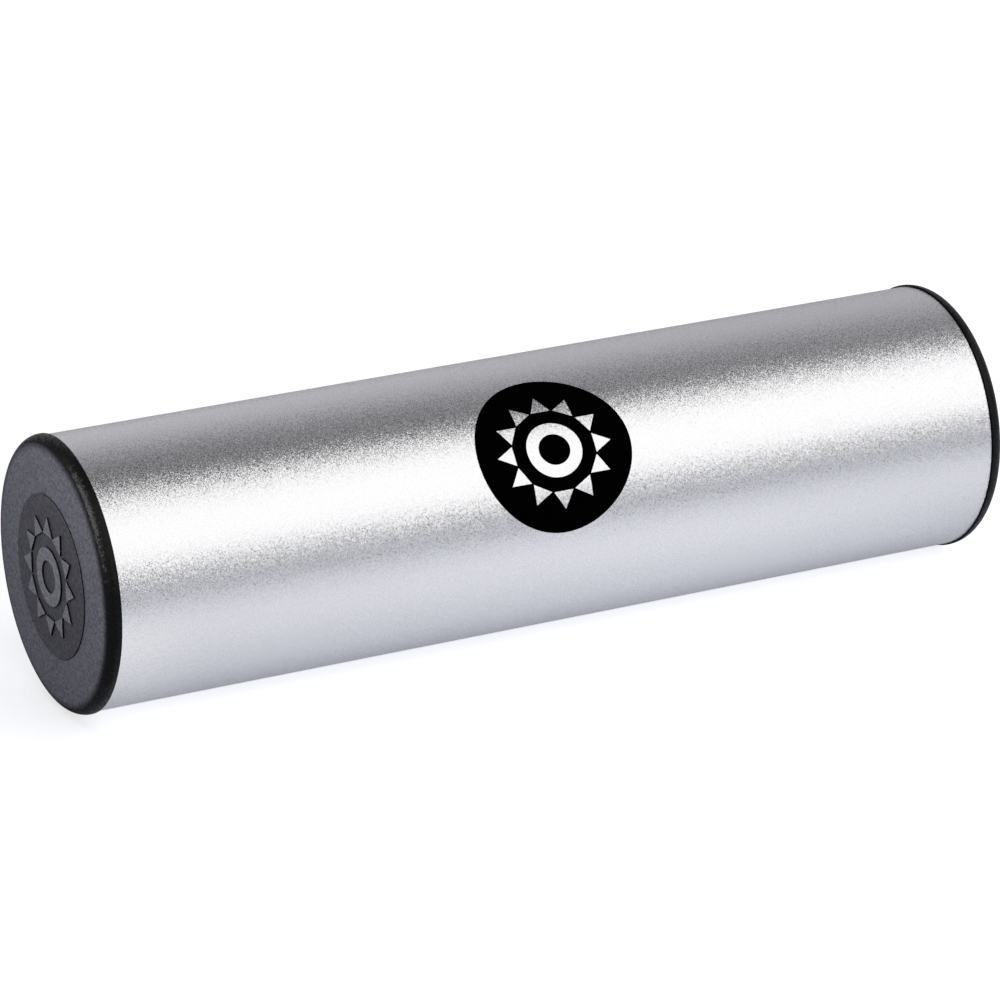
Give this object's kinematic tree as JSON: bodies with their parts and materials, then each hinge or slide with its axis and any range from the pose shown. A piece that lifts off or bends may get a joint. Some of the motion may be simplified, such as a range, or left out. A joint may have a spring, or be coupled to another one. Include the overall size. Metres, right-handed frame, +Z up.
{
  "type": "ganza shaker",
  "caption": "Tubular metal ganza shaker closed by flanged plastic end caps, with loose steel shot inside that runs along, jumps across and swirls round the bore.",
  "frame": {"origin": "on the table under the middle of the lying shaker", "axes": "+X along the tube towards the right-hand cap as seen from the badge's side, +Z up, -Y towards the badge's side"},
  "size_m": [0.2214, 0.0608, 0.0608],
  "materials": {
    "tube_metal": "fine bead-blasted, silver anodised",
    "cap_plastic": "black, fine moulded texture",
    "badge_print": "black print, smooth",
    "shot_steel": "plain steel shot, slightly dull"
  },
  "bodies": {
    "shell": {"tube": "tube_metal", "left_cap": "cap_plastic", "right_cap": "cap_plastic", "badge": "badge_print"},
    "swirling_row": {"shot_row_1_left": "shot_steel", "shot_row_1_middle": "shot_steel", "shot_row_1_right": "shot_steel"},
    "running_row": {"shot_row_7_left": "shot_steel", "shot_row_7_middle": "shot_steel", "shot_row_7_right": "shot_steel"},
    "jumping_row_2_left": {"shot_row_2_left": "shot_steel"},
    "jumping_row_2_middle": {"shot_row_2_middle": "shot_steel"},
    "jumping_row_2_right": {"shot_row_2_right": "shot_steel"},
    "jumping_row_3_left": {"shot_row_3_left": "shot_steel"},
    "jumping_row_3_middle": {"shot_row_3_middle": "shot_steel"},
    "jumping_row_3_right": {"shot_row_3_right": "shot_steel"},
    "jumping_row_4_left": {"shot_row_4_left": "shot_steel"},
    "jumping_row_4_middle": {"shot_row_4_middle": "shot_steel"},
    "jumping_row_4_right": {"shot_row_4_right": "shot_steel"},
    "jumping_row_5_left": {"shot_row_5_left": "shot_steel"},
    "jumping_row_5_middle": {"shot_row_5_middle": "shot_steel"},
    "jumping_row_5_right": {"shot_row_5_right": "shot_steel"},
    "jumping_row_6_left": {"shot_row_6_left": "shot_steel"},
    "jumping_row_6_middle": {"shot_row_6_middle": "shot_steel"},
    "jumping_row_6_right": {"shot_row_6_right": "shot_steel"}
  },
  "joints": [
    {"name": "swirl_round_the_bore", "type": "hinge", "parent": "shell", "child": "swirling_row", "pos_m": [0, 0, 0.0304], "axis": [1, 0, 0], "continuous": true},
    {"name": "run_along_the_tube", "type": "slide", "parent": "swirling_row", "child": "running_row", "axis": [1, 0, 0], "range_m": [-0.0357, 0.0357]},
    {"name": "jump_row_2_left", "type": "slide", "parent": "running_row", "child": "jumping_row_2_left", "axis": [0, 0, 1], "range_m": [0, 0.04935]},
    {"name": "jump_row_2_middle", "type": "slide", "parent": "running_row", "child": "jumping_row_2_middle", "axis": [0, 0, 1], "range_m": [0, 0.04935]},
    {"name": "jump_row_2_right", "type": "slide", "parent": "running_row", "child": "jumping_row_2_right", "axis": [0, 0, 1], "range_m": [0, 0.04935]},
    {"name": "jump_row_3_left", "type": "slide", "parent": "running_row", "child": "jumping_row_3_left", "axis": [0, 0, 1], "range_m": [0, 0.05165]},
    {"name": "jump_row_3_middle", "type": "slide", "parent": "running_row", "child": "jumping_row_3_middle", "axis": [0, 0, 1], "range_m": [0, 0.05165]},
    {"name": "jump_row_3_right", "type": "slide", "parent": "running_row", "child": "jumping_row_3_right", "axis": [0, 0, 1], "range_m": [0, 0.05165]},
    {"name": "jump_row_4_left", "type": "slide", "parent": "running_row", "child": "jumping_row_4_left", "axis": [0, 0, 1], "range_m": [0, 0.0524]},
    {"name": "jump_row_4_middle", "type": "slide", "parent": "running_row", "child": "jumping_row_4_middle", "axis": [0, 0, 1], "range_m": [0, 0.0524]},
    {"name": "jump_row_4_right", "type": "slide", "parent": "running_row", "child": "jumping_row_4_right", "axis": [0, 0, 1], "range_m": [0, 0.0524]},
    {"name": "jump_row_5_left", "type": "slide", "parent": "running_row", "child": "jumping_row_5_left", "axis": [0, 0, 1], "range_m": [0, 0.05165]},
    {"name": "jump_row_5_middle", "type": "slide", "parent": "running_row", "child": "jumping_row_5_middle", "axis": [0, 0, 1], "range_m": [0, 0.05165]},
    {"name": "jump_row_5_right", "type": "slide", "parent": "running_row", "child": "jumping_row_5_right", "axis": [0, 0, 1], "range_m": [0, 0.05165]},
    {"name": "jump_row_6_left", "type": "slide", "parent": "running_row", "child": "jumping_row_6_left", "axis": [0, 0, 1], "range_m": [0, 0.04935]},
    {"name": "jump_row_6_middle", "type": "slide", "parent": "running_row", "child": "jumping_row_6_middle", "axis": [0, 0, 1], "range_m": [0, 0.04935]},
    {"name": "jump_row_6_right", "type": "slide", "parent": "running_row", "child": "jumping_row_6_right", "axis": [0, 0, 1], "range_m": [0, 0.04935]}
  ]
}
